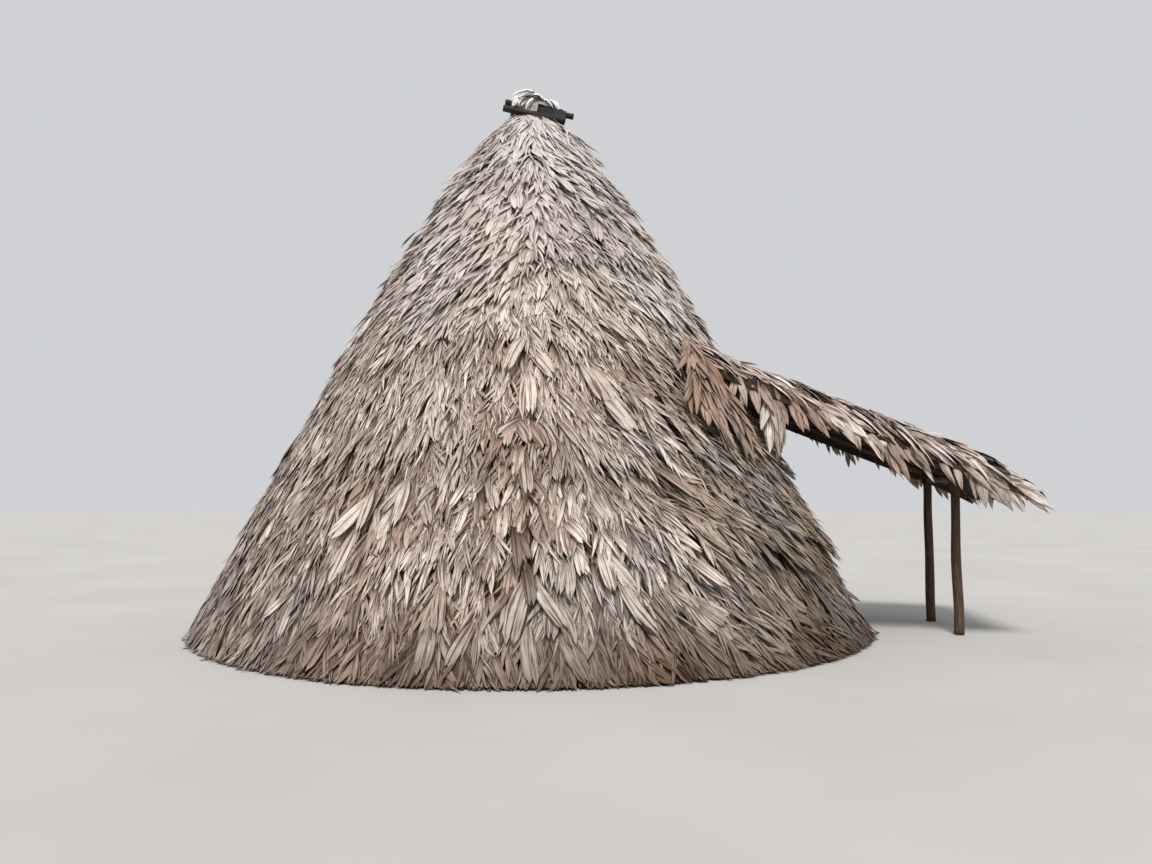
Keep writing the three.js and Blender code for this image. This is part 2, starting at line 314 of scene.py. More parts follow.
# Lengths that the ramps for soil with painted shade near the ground, bleaching with painted sky light
# towards the top, and the cool side take shares of.
SOIL_AND_SHADE_HEIGHT = 1.2
BLEACH_AND_LIGHT_HEIGHT = 7.0
COOL_SIDE_X = -5.0


def leaf_material(name, dark, middle, pale, warm, moss, cooled, bleached_and_lit):
    """Dry palm leaf. The vertex colour holds tone, warmth, how far a leaflet is out from the painted shade
    under others, and moss. u runs across a leaflet and v down it."""
    n = Nodes(name)
    look = n.add("ShaderNodeVertexColor", layer_name="look")
    tone, warmth, unshaded = n.add("ShaderNodeSeparateColor", {0: look.outputs[0]}).outputs
    strip = n.add("ShaderNodeUVMap", uv_map="leaf").outputs[0]
    place = n.place()
    x, _, z = n.split(place)

    colour = n.ramp(tone, [(0.0, dark), (0.45, middle), (1.0, pale)])
    colour = n.mix(warmth, colour, warm)
    mossy = n.math("MULTIPLY", look.outputs[1], n.noise(place, 1.3, 2.0))
    colour = n.mix(mossy, colour, moss)
    cool_side = n.between(n.math("DIVIDE", x, COOL_SIDE_X), 0.25, 0.85)
    cool = n.math("MAXIMUM", n.between(n.noise(place, 0.9, 3.0), 0.42, 0.62), cool_side)
    colour = n.mix(n.math("MULTIPLY", cool, 0.65), colour, cooled, "COLOR")

    veins = n.streaks(strip, (3.2, 0.7, 1.0), 2.0, 0.6)
    hairs = n.streaks(strip, (9.0, 1.4, 1.0), 2.0, 0.6)
    blotch = n.noise(place, 15.0, 4.0, 0.65)
    across = n.math("FRACT", n.split(strip)[0])
    from_middle = n.math("ABSOLUTE", n.math("SUBTRACT", across, 0.5))
    # Painted shade: fine dark lines in the grooves between the veins.
    colour = n.shaded(colour, 0.92, veins, GROOVE_SHADE, 0.38, 0.49)
    colour = n.shaded(colour, 0.70, hairs, STAIN, 0.38, 0.56)
    colour = n.shaded(colour, 0.55, blotch, STAIN, 0.32, 0.56)
    # Painted shade at each leaflet's rims and in its pleat valleys.
    colour = n.shaded(colour, 0.92, from_middle, RIM_SHADE, 0.50, 0.37)
    # Painted shade near each leaflet's root, under the leaves that lie over it.
    colour = n.shaded(colour, 0.90, unshaded, ROOT_SHADE, 0.05, 0.60)

    uneven = n.math("MULTIPLY", n.math("SUBTRACT", n.noise(place, 2.2, 3.0), 0.5), 0.5)
    height = n.math("ADD", z, uneven)
    # Soil with painted shade near the ground, less of both on the cool side.
    soil_and_shade = n.math("SUBTRACT", 0.85, n.math("MULTIPLY", cool_side, 0.60))
    colour = n.shaded(colour, soil_and_shade, n.math("DIVIDE", height, SOIL_AND_SHADE_HEIGHT), SOIL_AND_SHADE, 0.0, 0.60)
    # Bleaching with painted sky light: paler and greyer towards the top.
    high = n.between(n.math("DIVIDE", height, BLEACH_AND_LIGHT_HEIGHT), 0.42, 0.92)
    colour = n.mix(n.math("MULTIPLY", high, 0.55), colour, bleached_and_lit)

    rough = n.math("ADD", n.math("MULTIPLY", blotch, 0.25), 0.60)
    return n.finish(colour, n.weighted(veins, 0.8, hairs, 0.4), 0.8, 0.006, rough)


def litter_material(name, dark, pale):
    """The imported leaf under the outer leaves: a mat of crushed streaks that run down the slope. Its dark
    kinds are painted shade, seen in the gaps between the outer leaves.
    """
    n = Nodes(name, roughness=0.9, specular=0.15)
    place = n.place()
    mapped = n.add("ShaderNodeMapping", {"Vector": place, "Scale": (1.0, 1.0, 0.22)}).outputs[0]
    mixed = n.weighted(n.noise(mapped, 34.0, 4.0, 0.7), 0.7, n.noise(place, 6.0, 4.0, 0.6), 0.3)
    colour = n.ramp(mixed, [(0.35, dark), (0.68, pale)])
    return n.finish(colour, mixed, 1.0, 0.05)


def pole_material(name, dark, middle, pale):
    """A round pole: grain and shallow cracks along it with painted shade in them, blotches, scuffs
    and grey weathering.
    """
    n = Nodes(name, roughness=0.75, specular=0.3)
    skin = n.add("ShaderNodeUVMap", uv_map="skin").outputs[0]
    grain = n.streaks(skin, (90.0, 5.0, 1.0), 5.0, 0.65)
    cracks = n.streaks(skin, (38.0, 1.6, 1.0), 2.0, 0.5)
    blotch = n.noise(n.place(), 6.0, 4.0, 0.6)
    colour = n.ramp(grain, [(0.3, dark), (0.5, middle), (0.75, pale)])
    colour = n.shaded(colour, 0.8, blotch, (0.55, 0.50, 0.47), 0.35, 0.65)
    # Painted shade in the cracks.
    colour = n.shaded(colour, 0.9, cracks, (0.25, 0.22, 0.20), 0.36, 0.42)
    height = n.weighted(grain, 0.5, n.math("MINIMUM", cracks, 0.42), 2.0)
    rough = n.math("ADD", n.math("MULTIPLY", grain, 0.3), 0.55)
    return n.finish(colour, height, 0.9, 0.006, rough)


def floor_material():
    n = Nodes("pale_floor", roughness=0.85, specular=0.2)
    place = n.place()
    colour = n.ramp(n.noise(place, 0.35, 3.0), [(0.3, (0.43, 0.42, 0.405)), (0.7, (0.47, 0.46, 0.445))])
    return n.finish(colour, n.noise(place, 60.0, 2.0), 0.1, 0.002)


THATCH = leaf_material(
    "outer_thatch",
    dark=(0.200, 0.145, 0.115),
    middle=(0.470, 0.392, 0.335),
    pale=(0.810, 0.735, 0.675),
    warm=(0.380, 0.235, 0.155),
    moss=(0.420, 0.395, 0.270),
    cooled=(0.400, 0.375, 0.355),
    bleached_and_lit=(0.650, 0.610, 0.615),
)
AWNING_LEAF = leaf_material(
    "awning_leaf",
    dark=(0.150, 0.095, 0.070),
    middle=(0.450, 0.355, 0.305),
    pale=(0.860, 0.775, 0.725),
    warm=(0.390, 0.245, 0.150),
    moss=(0.300, 0.260, 0.150),
    cooled=(0.400, 0.370, 0.345),
    bleached_and_lit=(0.640, 0.590, 0.575),
)
CAP_LEAF = leaf_material(
    "cap_leaf",
    dark=(0.280, 0.250, 0.235),
    middle=(0.600, 0.555, 0.530),
    pale=(0.880, 0.850, 0.835),
    warm=(0.420, 0.300, 0.220),
    moss=(0.350, 0.330, 0.190),
    cooled=(0.500, 0.490, 0.490),
    bleached_and_lit=(0.860, 0.835, 0.830),
)
# Painted shade: the dark mat seen in the gaps between the cone's leaves, and the near-black mat of the
# awning, seen in the shade under it.
LITTER_SHADE = litter_material("packed_leaf_painted_shade", (0.030, 0.020, 0.015), (0.150, 0.108, 0.080))
AWNING_SHADE = litter_material("awning_painted_shade", (0.012, 0.008, 0.006), (0.085, 0.055, 0.038))
CAP_LITTER = litter_material("packed_leaf_of_cap", (0.240, 0.210, 0.190), (0.620, 0.570, 0.540))
POLE = pole_material("peeled_pole", (0.030, 0.017, 0.011), (0.090, 0.052, 0.034), (0.180, 0.120, 0.085))
LATH = pole_material("split_lath", (0.060, 0.036, 0.022), (0.160, 0.100, 0.062), (0.280, 0.190, 0.120))
CROWN_LOG = pole_material("crown_log", (0.005, 0.005, 0.006), (0.018, 0.017, 0.020), (0.130, 0.128, 0.140))
VINE = pole_material("vine", (0.050, 0.030, 0.018), (0.130, 0.085, 0.052), (0.240, 0.170, 0.110))


def dress_solids():
    """Materials for the solids that stay in view."""
    looks = {"thatch": LITTER_SHADE, "awning_thatch": AWNING_SHADE, "crown_thatch": CAP_LITTER}
    for name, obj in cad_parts.items():
        for start, material in looks.items():
            if name.startswith(start):
                for slot in obj.material_slots:
                    slot.material = material


def make_piece(name, mesh, material, replaced=()):
    mesh.materials.append(material)
    obj = bpy.data.objects.new(name, mesh)
    bpy.context.collection.objects.link(obj)
    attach(obj, "root")
    if replaced:
        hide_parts(*replaced)


# Leaflets

# A leaflet has one or two pleats. Each pleat is two narrow faces that meet in a ridge, and it ends in
# a long point of its own. The rows are shares of the leaflet's length, with its width at each.
ROW_SHARES = np.array([0.0, 0.28, 0.55, 0.79])
NARROW_ROWS = np.array([0.45, 0.92, 1.00, 0.60])
BROAD_ROWS = np.array([0.45, 0.92, 1.00, 0.88])
ROWS = len(ROW_SHARES)

# Leaflets at the floor: the least height of their lowest points and how much more it can be, how ragged
# the foot is, the least share of a leaflet that stays, and the push outwards for each metre under it.
FLOOR_GAP = 0.004
FLOOR_DEPTH = 0.03
RAGGED_FOOT = 0.04
SHORTEST_SHARE = 0.12
FLOOR_SPLAY = 0.30

# Each leaflet takes its own place in the vein pattern: a step across and down it, which starts again
# after a while, and how many units of the pattern a metre of leaf spans.
PATTERN_STEP = (4, 0.73)
PATTERN_REPEAT = (48, 50)
PATTERN_PER_METRE = 3


def splay_on_floor(points, rng):
    """What would go under the floor lies on it instead, pushed outwards from the cone's axis."""
    floor = FLOOR_GAP + rng.uniform(0, FLOOR_DEPTH, len(points))[:, None]
    under = np.maximum(floor - points[..., 2], 0)
    out = unit(points[..., :2] - np.array([AXIS_X, 0.0]))
    points[..., :2] += out * under[..., None] * FLOOR_SPLAY
    points[..., 2] = np.maximum(points[..., 2], floor)


def leaflet_layout(pleats):
    """Faces of a leaflet's mesh, and each point's place across it in pleats and down it as a share."""
    columns = 2 * pleats + 1
    quads = [
        (row * columns + c, row * columns + c + 1, (row + 1) * columns + c + 1, (row + 1) * columns + c)
        for row in range(ROWS - 1)
        for c in range(columns - 1)
    ]
    last, tips = (ROWS - 1) * columns, ROWS * columns
    ends = [(last + c, last + c + 1, tips + c // 2) for c in range(columns - 1)]
    across = np.append(np.tile(np.arange(columns) / 2, ROWS), np.arange(pleats) + 0.5)
    down = np.append(np.repeat(ROW_SHARES, columns), np.ones(pleats))
    return np.array(quads), np.array(ends), across, down


def fill(data, key, values, kind=np.float32):
    data.foreach_set(key, values.reshape(-1).astype(kind))


def mesh_of(name, points, corners, sizes):
    """A mesh from its points, the points at its faces' corners and the number of corners of each face."""
    mesh = bpy.data.meshes.new(name)
    mesh.vertices.add(len(points))
    fill(mesh.vertices, "co", points)
    mesh.loops.add(len(corners))
    fill(mesh.loops, "vertex_index", corners, np.int32)
    mesh.polygons.add(len(sizes))
    fill(mesh.polygons, "loop_start", np.concatenate([[0], np.cumsum(sizes)[:-1]]), np.int32)
    mesh.update(calc_edges=True)
    return mesh


class Leaflets:
    """Many leaflets as one mesh. Each is a pleated, bent strip."""

    def __init__(self, rng):
        self.rng = rng
        self.batches = []

    def above_floor(self, root, along, up, length, rise_at_tip):
        """The lengths, cut short where a leaflet would run far through the floor."""
        fall = -length * (along[:, 2] + up[:, 2] * rise_at_tip)
        room = root[:, 2] + self.rng.uniform(0.0, RAGGED_FOOT, len(root))
        kept = np.clip(room / np.maximum(fall, 1e-3), SHORTEST_SHARE, 1)
        return length * np.where(fall > room, kept, 1)

    def add(self, root, along, up, length, width, shape, look, pleats=1):
        """Arrays over the leaflets. shape is rise, arch, droop, fold, bend and twist, and look is
        tone, warmth, how far it is out from the painted shade under others, and moss."""
        count = len(root)
        rise, arch, droop, fold, bend, twist = (np.broadcast_to(s, count)[:, None] for s in shape)
        fold = np.abs(fold)
        side = unit(np.cross(along, up))
        up = np.cross(side, along)
        length = self.above_floor(root, along, up, length, (rise - droop)[:, 0])
        share = np.append(ROW_SHARES, 1.0)[None, :]
        lift = rise * share + 4 * arch * share * (1 - share) - droop * share**2
        long = length[:, None, None]
        middle = root[:, None] + along[:, None] * long * share[..., None]
        middle = middle + up[:, None] * long * lift[..., None]
        middle = middle + side[:, None] * long * (bend * share**2)[..., None]

        along_rows = np.repeat(along[:, None], ROWS, 1)
        side_rows = turned(np.repeat(side[:, None], ROWS, 1), along_rows, twist * ROW_SHARES)
        up_rows = np.cross(side_rows, along_rows)
        half = 0.5 * width[:, None] * (NARROW_ROWS if pleats == 1 else BROAD_ROWS)
        places = np.linspace(-1, 1, 2 * pleats + 1)
        columns = []
        for number, place in enumerate(places):
            out = (place * half * np.cos(fold))[..., None]
            down = (half / pleats * np.sin(fold) * (1 - number % 2))[..., None]
            columns.append(middle[:, :ROWS] + side_rows * out - up_rows * down)
        tips = []
        for number in range(1, len(places), 2):
            ridge = columns[number][:, -1]
            end = middle[:, ROWS] + side_rows[:, -1] * (places[number] * 0.5 * half[:, -1:])
            reach = 1.0 if pleats == 1 else self.rng.uniform(0.60, 1.0, count)[:, None]
            tips.append(ridge + (end - ridge) * reach)
        points = np.stack(columns, axis=2).reshape(count, -1, 3)
        points = np.concatenate([points, np.stack(tips, axis=1)], axis=1)
        looks = columns_of(*look, length)
        self.batches.append((pleats, points, looks))

    def piece(self, name, material, slot):
        """One mesh object of all the leaflets, none of it below the floor."""
        points, corners, sizes, uvs, colours = [], [], [], [], []
        first_point = first_leaflet = 0
        for pleats, batch, looks in self.batches:
            splay_on_floor(batch, self.rng)
            count, per_leaflet = batch.shape[:2]
            quads, ends, across, down = leaflet_layout(pleats)
            start = first_point + np.arange(count)[:, None, None] * per_leaflet
            parts = [(faces[None] + start).reshape(count, -1) for faces in (quads, ends)]
            corners.append(np.concatenate(parts, axis=1).reshape(-1))
            sizes.append(np.tile([4] * len(quads) + [3] * len(ends), count))
            number = first_leaflet + np.arange(count)[:, None]
            length = looks[:, 4:5] * PATTERN_PER_METRE
            u = across[None] + number * PATTERN_STEP[0] % PATTERN_REPEAT[0]
            v = down[None] * length + number * PATTERN_STEP[1] % PATTERN_REPEAT[1]
            uvs.append(np.stack([u, v], axis=2).reshape(-1, 2))
            colour = np.empty((count, per_leaflet, 4))
            colour[:] = np.clip(looks[:, None, :4], 0, 1)
            # The third channel grows down each leaflet, so the painted shade lies near its root.
            colour[:, :, 2] = np.clip(looks[:, 2:3] + down[None], 0, 1)
            colours.append(colour.reshape(-1))
            points.append(batch.reshape(-1, 3))
            first_point += count * per_leaflet
            first_leaflet += count
        corners = np.concatenate(corners)
        mesh = mesh_of(name, np.concatenate(points), corners, np.concatenate(sizes))
        fill(mesh.uv_layers.new(name="leaf").data, "uv", np.concatenate(uvs)[corners])
        attribute = mesh.color_attributes.new("look", "FLOAT_COLOR", "POINT")
        fill(attribute.data, "color", np.concatenate(colours))
        make_piece(name, mesh, material)


# Palm leaves

# The ways a leaf is split. Each is the pairs of leaflets, the pleats in each, the width of a pleat and
# the length of a leaflet in leaf lengths.
FINE = (7, 1, 0.033, 0.56)
BROAD = (5, 1, 0.053, 0.58)
WHOLE = (2, 2, 0.058, 0.70)
# The leaf length that those widths are for.
LEAF_LENGTH = 0.60
# A leaf's root lies this share of its length up from its middle.
ROOT_SHARE = 0.55


def add_palm_leaves(leaves, rng, root, rib, up, size, look, rise, shares, opening, droop):
    """Adds a palm leaf at each root. rib and up are unit vectors, and size is the leaf's length.
    shares is how many of the leaves have fine or broad leaflets, the rest being whole."""
    count = len(root)
    size, rise, droop = (np.broadcast_to(value, count) for value in (size, rise, droop))
    look = np.stack([np.broadcast_to(value, count) for value in look])
    opening = np.clip(opening * rng.normal(1, 0.42, count), 0.05, 1.6)
    rise = rise + np.maximum(rng.normal(0, 0.04, count), -0.03)
    draw = rng.uniform(0, 1, count)
    kinds = (draw > shares[0]).astype(int) + (draw > shares[0] + shares[1])
    for number, kind in enumerate((FINE, BROAD, WHOLE)):
        pick = kinds == number
        if pick.any():
            leaf = [value[pick] for value in (root, rib, up, size, rise, droop, opening)]
            add_split_leaves(leaves, rng, kind, leaf, look[:, pick])


def add_split_leaves(leaves, rng, kind, leaf, look):
    """Adds palm leaves that are all split in one way, in pairs of leaflets from the tip to the root."""
    pairs, pleats, pleat_width, long = kind
    root, rib, up, size, rise, droop, opening = leaf
    tone, warmth, unshaded, moss = look
    count = len(root)
    for pair in range(pairs):
        share = pair / (pairs - 1)
        for hand in (-1, 1):
            angle = hand * ((0.08 + 0.42 * share) * opening + rng.normal(0, 0.05, count))
            up_rib = size * (0.48 - 0.46 * share + rng.normal(0, 0.03, count))
            base = root + rib * up_rib[:, None] + up * rng.uniform(0.0, 0.020, count)[:, None]
            bend = hand * 0.10 * opening
            shape = varied(
                rng, count, (rise, 0.025), (0.03, 0.02), (droop, 0.05), (0.30, 0.16), (bend, 0.08),
                (0, 0.45 / pleats),
            )
            leaves.add(
                base,
                turned(rib, up, angle),
                up,
                size * long * rng.uniform(0.78, 1.16, count),
                pleat_width * pleats * (size / LEAF_LENGTH) * rng.uniform(0.65, 1.25, count),
                shape,
                (tone + rng.normal(0, 0.08, count), warmth + rng.normal(0, 0.04, count), unshaded, moss),
                pleats,
            )


# A long leaf carries separate leaflets in pairs down its rib.
PAIR_STEP = 0.105
LEAFLET_LENGTH = 0.42
LEAFLET_WIDTH = 0.105


def add_long_leaf(leaves, rng, root, rib, up, length, look, opening, size=1.0):
    """Adds one long leaf. root, rib and up are vectors; length runs from its root to its last tips."""
    pairs = max(int(round((length - LEAFLET_LENGTH * size * 0.9) / PAIR_STEP)), 0) + 1
    place = np.repeat(np.arange(pairs), 2)
    hand = np.tile([-1.0, 1.0], pairs)
    count = 2 * pairs
    share = place / max(pairs - 1, 1)
    sideways = (0.52 - 0.34 * share) * opening * hand + rng.normal(0, 0.07, count)
    ribs, ups = np.tile(rib, (count, 1)), np.tile(up, (count, 1))
    base = root + rib * (place * PAIR_STEP)[:, None] + up * rng.uniform(0, 0.03, count)[:, None]
    shape = varied(
        rng, count, (0.03, 0.06), (0.04, 0.03), (0.06, 0.06), (0.28, 0.15), (hand * 0.06, 0.05), (0, 0.25)
    )
    tone, warmth, unshaded, moss = look
    leaves.add(
        base,
        turned(ribs, ups, sideways),
        ups,
        LEAFLET_LENGTH * size * rng.uniform(0.80, 1.15, count),
        LEAFLET_WIDTH * size * rng.uniform(0.75, 1.20, count),
        shape,
        (tone + rng.normal(0, 0.10, count), warmth + rng.normal(0, 0.08, count), unshaded, moss),
    )


# The leaves of the cone

FIRST_COURSE = -0.04
LAST_COURSE = SHELL_HEIGHT - 0.16
COURSE_STEP = 0.145
LEAF_STEP = 0.165
# Heights at which the thatch overhangs the courses below a little, and how far it stands out there.
TIERS = np.array([0.0, 0.95, 1.85, 3.05, 4.15, 5.15, 6.5])
TIER_RELIEF = 0.12
# The heights between which the leaves become finer, then coarse, then finer again towards the crown.
TO_FINER = (1.8, 2.3)
TO_COARSE = (3.0, 3.8)
TO_CROWN = (4.8, 5.8)


def cone_leaf_places(rng):
    """Azimuth and height of every leaf, in courses from the foot to the crown. The first is doubled."""
    azimuths, heights = [], []
    height = FIRST_COURSE
    course = 0
    while height < LAST_COURSE:
        count = int(2 * math.pi * shell_radius(height) / LEAF_STEP) * (2 if course == 0 else 1)
        spots = (np.arange(count) + 0.5 * (course % 2)) / count * 2 * math.pi
        azimuths.append(spots + rng.normal(0, 0.25, count) * 2 * math.pi / count)
        heights.append(np.full(count, height) + rng.normal(0, 0.035, count))
        height += COURSE_STEP / math.hypot(1, shell_slope(height))
        course += 1
    return np.concatenate(azimuths) % (2 * math.pi), np.concatenate(heights)


def from_door(azimuth):
    """Angle round from the doorway, from -pi to pi."""
    return (azimuth + math.pi) % (2 * math.pi) - math.pi


def around(azimuth):
    """Angle from the side that faces the camera, mirrored behind the doorway, and the mirror's sign."""
    angle = from_door(azimuth)
    return -np.abs(angle) - FRONT, np.where(angle > 0, -1.0, 1.0)


def leaf_lean(azimuth, height, point):
    """How far the leaves turn from straight down the slope, positive towards larger azimuths."""
    turn, sign = around(azimuth)
    high = 0.23 * np.tanh(turn / 0.25)
    low = np.where(turn > 0, 0.47 * smooth(turn, -0.05, 0.50), -0.05)
    by_door = smooth(-FRONT - turn, 0.0, 0.35)
    lean = sign * (low + (high - low) * smooth(height, 2.5, 3.6)) * by_door
    waves = field(point * np.array([1, 1, 2.2]), 0.75, 3.1)
    return lean + waves * 0.30


def tier_place(height, point):
    """How far up its tier each point is, from 0 at the tier's lower edge to 1 under the next."""
    wavy = height + 0.22 * field(point, 0.9, 5.3)
    index = np.clip(np.searchsorted(TIERS, wavy) - 1, 0, len(TIERS) - 2)
    return np.clip((wavy - TIERS[index]) / (TIERS[index + 1] - TIERS[index]), 0, 1)


def over_doorway(point, azimuth):
    in_width = np.abs(point[:, 1]) < DOOR_HALF + 0.07
    return in_width & (np.cos(azimuth) > 0) & (point[:, 2] < DOOR_HEAD + 0.30)


def leaf_tone(rng, angle, height, point, tier):
    """How pale each leaf is: painted shade under the awning, low down beside it, low on the far side
    and just under each tier's overhang, painted light over the awning and at middle heights, and
    uneven from leaf to leaf. angle is how far round from the doorway."""
    near_door = fades(angle, 0.7, 1.3)
    # Painted shade under the awning and low down on the far side and beside the doorway, and painted light
    # over the awning.
    painted_awning_shade = fades(angle, 0.55, 0.95) * fades(height, 2.4, 3.0)
    painted_low_far_shade = smooth(angle, 1.6, 2.3) * fades(height, 2.0, 3.6)
    painted_low_door_shade = near_door * fades(height, 1.2, 2.2)
    painted_over_awning_light = near_door * smooth(height, 2.8, 3.3) * fades(height, 4.3, 4.9)
    # Painted light at middle heights: paler there than at the foot and near the crown.
    tone = 0.68 + 0.12 * smooth(height, 1.2, 2.6) - 0.12 * smooth(height, 4.2, 5.0)
    tone = tone - 0.40 * painted_awning_shade - 0.10 * painted_low_far_shade - 0.22 * painted_low_door_shade + 0.14 * painted_over_awning_light
    uneven = 0.30 - 0.08 * smooth(height, 1.5, 3.0)
    tone = tone + field(point, 1.1, 9.4) * 0.28 + rng.normal(0, 1, len(height)) * uneven
    # Painted shade just under each tier's overhang.
    return tone - 0.22 * smooth(tier, 0.70, 0.98)


def leaf_warmth(rng, height, point):
    """How brown each leaf is: in patches, one leaf in twenty much more, and more at the foot."""
    count = len(height)
    warmth = 0.06 + np.maximum(field(point, 1.0, 21.0) - 0.1, 0) * 0.55 + rng.uniform(0, 0.10, count)
    warmth = np.where(rng.uniform(0, 1, count) < 0.05, warmth + 0.40, warmth)
    return warmth + 0.5 * fades(height, 0.05, 0.35) * rng.uniform(0, 1, count)


def leaf_moss(rng, azimuth, height):
    turn, _ = around(azimuth)
    return smooth(turn, 0.2, 1.0) * fades(height, 1.5, 2.8) * rng.uniform(0.1, 0.9, len(height))


def fullness(angle, height):
    """The thatch is fuller low beside the door and high on the far side, and thinner low on the far side."""
    beside = fades(angle, 0.35, 1.4) * smooth(height, 0.4, 1.1) * fades(height, 1.5, 2.6)
    high = smooth(angle, 2.2, 2.9) * smooth(height, 4.6, 5.6)
    low = smooth(angle, 1.7, 2.5) * fades(height, 2.2, 3.2)
    return 0.11 * beside + 0.03 * high - 0.02 * low


def build_cone_leaves():
    rng = seeded("cone")
    azimuth, height = cone_leaf_places(rng)
    point, down, out, side = slope_frame(azimuth, height)
    keep = ~over_doorway(point, azimuth)
    azimuth, height, point, down, out, side = (v[keep] for v in (azimuth, height, point, down, out, side))
    count = len(azimuth)
    angle = np.abs(from_door(azimuth))
    coarse = smooth(height, *TO_COARSE)
    finer = smooth(height, *TO_FINER) * (1 - coarse)
    by_crown = smooth(height, *TO_CROWN)
    thin = smooth(angle, 1.7, 2.5) * fades(height, 3.0, 4.6)
    tier = tier_place(height, point)

    rib = leaning(down, side, leaf_lean(azimuth, height, point) + rng.normal(0, 0.14, count))
    size = LEAF_LENGTH * (1 + 0.15 * coarse - 0.05 * finer) * rng.uniform(0.80, 1.20, count)
    size = size * (1 - 0.30 * smooth(height, SHELL_HEIGHT - 0.55, SHELL_HEIGHT))
    tone = leaf_tone(rng, angle, height, point, tier)
    warmth = leaf_warmth(rng, height, point)
    moss = leaf_moss(rng, azimuth, height)
    stand = TIER_RELIEF * (1 - tier) ** 2 * (1 - 0.75 * thin) + fullness(angle, height)
    lift = np.maximum(0.4 * stand, 0.010 + 0.014 * smooth(height, *TO_FINER)) - 0.022
    root = point + out * lift[:, None] - rib * (size * ROOT_SHARE)[:, None]
    rise = 0.06 - 0.03 * thin + 0.09 * coarse + 0.6 * stand / size
    rise = rise + np.abs(rng.normal(0, 0.08, count)) * coarse
    above = root[:, 2] - crown_seat(root) + 0.03
    root = root + down * (np.maximum(above, 0) / -down[:, 2])[:, None]

    fine = 0.50 + 0.25 * finer - 0.20 * coarse + 0.35 * by_crown
    broad = 0.38 - 0.13 * finer + 0.20 * coarse - 0.20 * by_crown
    droop = 0.02 + 0.06 * coarse
    parts = (azimuth / (2 * math.pi) * SIDES + 0.5).astype(int) % SIDES
    for part in range(SIDES):
        pick = parts == part
        leaves = Leaflets(rng)
        look = (tone[pick], warmth[pick], 0.0, moss[pick])
        shares = (fine[pick], broad[pick])
        leaf = [value[pick] for value in (root, rib, out, size)]
        add_palm_leaves(leaves, rng, *leaf, look, rise[pick], shares, 0.75, droop[pick])
        leaves.piece(f"cone_leaves_{part + 1:02d}", THATCH, "thatch")


# Large leaves that stayed whole, which stand out among the others: azimuth in degrees, height of the
# middle, lean, length, how far they open, and tone.
LARGE_LEAVES = (
    (-81.5, 0.42, 0.02, 0.90, 0.60, 0.62),
    (-68.5, 0.74, 0.42, 0.76, 0.60, 0.74),
    (-94.0, 0.40, -0.08, 0.76, 0.70, 0.58),
    (-77.0, 0.34, 0.20, 0.74, 0.70, 0.52),
    (-109.5, 1.20, -0.10, 0.76, 0.70, 0.84),
    (-104.0, 1.36, -0.25, 0.74, 0.70, 0.76),
    (-82.0, 2.70, 0.10, 0.84, 1.00, 0.86),
    (-66.0, 2.50, 0.45, 0.80, 0.70, 0.70),
)
LARGE_LEAF_LIFT = 0.055


def build_large_leaves():
    rng = seeded("large")
    degrees, height, lean, size, opening, tone = np.array(LARGE_LEAVES).T
    point, down, out, side = slope_frame(np.radians(degrees), height)
    rib = leaning(down, side, lean)
    root = point + out * LARGE_LEAF_LIFT - rib * (size * ROOT_SHARE)[:, None]
    leaves = Leaflets(rng)
    look = (tone, 0.05, 0.25, 0.0)
    add_palm_leaves(leaves, rng, root, rib, out, size, look, 0.05, (0.0, 0.0), opening, 0.02)
    leaves.piece("large_leaves", THATCH, "thatch")


# The leaves of the awning

# How far out from the cone's axis they start, and how far short of the eave and the sides they end.
AWNING_OUT_FROM = 2.05
AWNING_SHORT_OF_EAVE = 0.22
AWNING_SIDE_INSET = 0.03
AWNING_STEP = 0.165
AWNING_LEAF_LENGTH = 0.76
# Half its width, how far out its edges run parallel, and how much they spread for each metre inside that.
AWNING_HALF = 1.17
PARALLEL_OUT = 2.9
EDGE_SPREAD = 0.26


def awning_leaf_places(rng, low, high):
    """Points on the awning's upper face with its normals, in rows across it."""
    tree = surface_of("awning_thatch")
    reach = high[0] - AWNING_SHORT_OF_EAVE - (AXIS_X + AWNING_OUT_FROM)
    rows = int(reach / AWNING_STEP) + 1
    columns = int((high[1] - low[1]) / AWNING_STEP) + 1
    points, normals = [], []
    for x in AXIS_X + AWNING_OUT_FROM + np.linspace(0, reach, rows):
        for y in np.linspace(low[1] + AWNING_SIDE_INSET, high[1] - AWNING_SIDE_INSET, columns):
            hit, normal = drop_onto(tree, x + rng.normal(0, 0.04), y + rng.normal(0, 0.02))
            if hit is not None:
                points.append(hit)
                normals.append(normal if normal.z > 0 else -normal)
    return np.array(points), np.array(normals)


